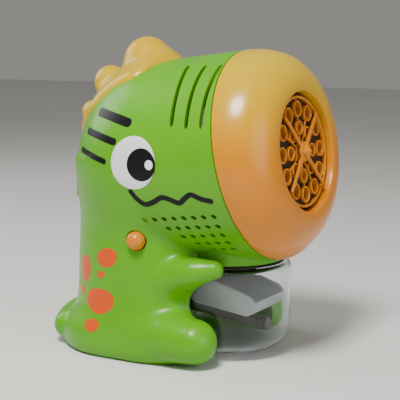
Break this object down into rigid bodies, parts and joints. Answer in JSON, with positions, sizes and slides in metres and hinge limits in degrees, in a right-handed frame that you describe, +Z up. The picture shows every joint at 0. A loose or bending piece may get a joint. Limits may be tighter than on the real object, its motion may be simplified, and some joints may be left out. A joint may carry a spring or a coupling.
{
  "type": "bubble machine",
  "caption": "Dinosaur-shaped toy bubble machine with a ringed nozzle in its snout, a wiper, pump and blower inside, and a clear solution tank under the chin.",
  "frame": {"origin": "centre of the overall footprint, on the plane the machine stands on", "axes": "+Z up; the snout faces -Y and the tail +Y; +X is the animal's left"},
  "size_m": [0.119, 0.1573, 0.1786],
  "materials": {
    "green_plastic": "satin gloss moulded plastic, leaf green",
    "yellow_plastic": "satin gloss moulded plastic, warm yellow",
    "orange_plastic": "satin gloss moulded plastic, orange yellow",
    "brown_plastic": "dark brown moulded plastic",
    "white_plastic": "natural white moulded plastic",
    "grey_plastic": "light grey moulded plastic",
    "dark_plastic": "dark grey moulded plastic",
    "eye_white": "smooth white printed disc",
    "steel": "plated steel",
    "soft_tube": "translucent soft tubing",
    "black_rubber": "black sealing rubber",
    "clear_plastic": "clear moulded plastic",
    "cell_wrap": "printed cell sleeve",
    "board_green": "green circuit board"
  },
  "bodies": {
    "machine": {"shell_right": "green_plastic", "shell_left": "green_plastic", "crest": "yellow_plastic", "snout_dome": "orange_plastic", "nozzle_seat": "brown_plastic", "nozzle_plate": "orange_plastic", "plenum": "white_plastic", "gearbox_front": "white_plastic", "gearbox_back": "white_plastic", "compound_shaft": "steel", "drive_motor": "steel", "pump_housing": "white_plastic", "pump_tube": "soft_tube", "feed_tube": "soft_tube", "blower_scroll": "white_plastic", "fan_motor": "steel", "tank_collar": "green_plastic", "drip_tray": "grey_plastic", "pickup_arm": "dark_plastic", "pickup_filter": "dark_plastic", "battery_box": "dark_plastic", "battery_cells": "cell_wrap", "battery_springs": "steel", "battery_contacts": "steel", "base_plate": "green_plastic", "base_screws": "steel", "shell_screws": "steel", "circuit_board": "board_green", "board_parts": "dark_plastic", "speaker": "dark_plastic", "speaker_magnet": "steel", "button_spring": "steel", "button_switch": "dark_plastic", "power_switch_body": "steel", "eye_right": "eye_white", "eye_left": "eye_white"},
    "wiper_unit": {"wiper": "orange_plastic", "hub_cap": "orange_plastic", "wiper_shaft": "steel", "wiper_gear": "white_plastic"},
    "compound": {"compound_gear": "white_plastic"},
    "pinion": {"motor_pinion": "white_plastic", "drive_motor_shaft": "steel"},
    "pump": {"pump_gear": "white_plastic", "pump_rotor": "orange_plastic", "pump_rollers": "white_plastic"},
    "fan": {"fan_impeller": "white_plastic", "fan_motor_shaft": "steel"},
    "tank_unit": {"tank": "clear_plastic", "tank_seal": "black_rubber"},
    "door": {"battery_door": "green_plastic", "door_screw": "steel"},
    "button": {"shoulder_button": "orange_plastic"},
    "switch_knob": {"power_switch": "green_plastic"}
  },
  "joints": [
    {"name": "wiper_spin", "type": "hinge", "parent": "machine", "child": "wiper_unit", "pos_m": [0, -0.04833, 0.114], "axis": [0, -0.9925, 0.1219], "continuous": true},
    {"name": "compound_spin", "type": "hinge", "parent": "machine", "child": "compound", "pos_m": [0, -0.03069, 0.0935], "axis": [0, -0.9925, 0.1219], "continuous": true},
    {"name": "pinion_spin", "type": "hinge", "parent": "machine", "child": "pinion", "pos_m": [0.01723, -0.02809, 0.09012], "axis": [0, -0.9925, 0.1219], "continuous": true},
    {"name": "pump_spin", "type": "hinge", "parent": "machine", "child": "pump", "pos_m": [-0.00622, -0.03278, 0.07652], "axis": [0, -0.9925, 0.1219], "continuous": true},
    {"name": "fan_spin", "type": "hinge", "parent": "machine", "child": "fan", "pos_m": [0, 0.01227, 0.11522], "axis": [1, 0, 0], "continuous": true},
    {"name": "tank_turn", "type": "hinge", "parent": "machine", "child": "tank_unit", "pos_m": [0, -0.02533, 0.03], "axis": [0, 0, 1], "range_deg": [0, 40]},
    {"name": "door_open", "type": "hinge", "parent": "machine", "child": "door", "pos_m": [0, 0.06667, 0.0283], "axis": [-1, 0, 0], "range_deg": [0, 75]},
    {"name": "button_press", "type": "slide", "parent": "machine", "child": "button", "axis": [1, 0, 0], "range_m": [0, 0.0015], "stiffness_N_per_m": 400},
    {"name": "switch_slide", "type": "slide", "parent": "machine", "child": "switch_knob", "axis": [0, 0, 1], "range_m": [0, 0.004]}
  ],
  "couplings": [
    {"joint": "compound_spin", "follows": "wiper_spin", "ratio": -3.3333},
    {"joint": "pinion_spin", "follows": "wiper_spin", "ratio": 13.333},
    {"joint": "pump_spin", "follows": "wiper_spin", "ratio": 1}
  ]
}
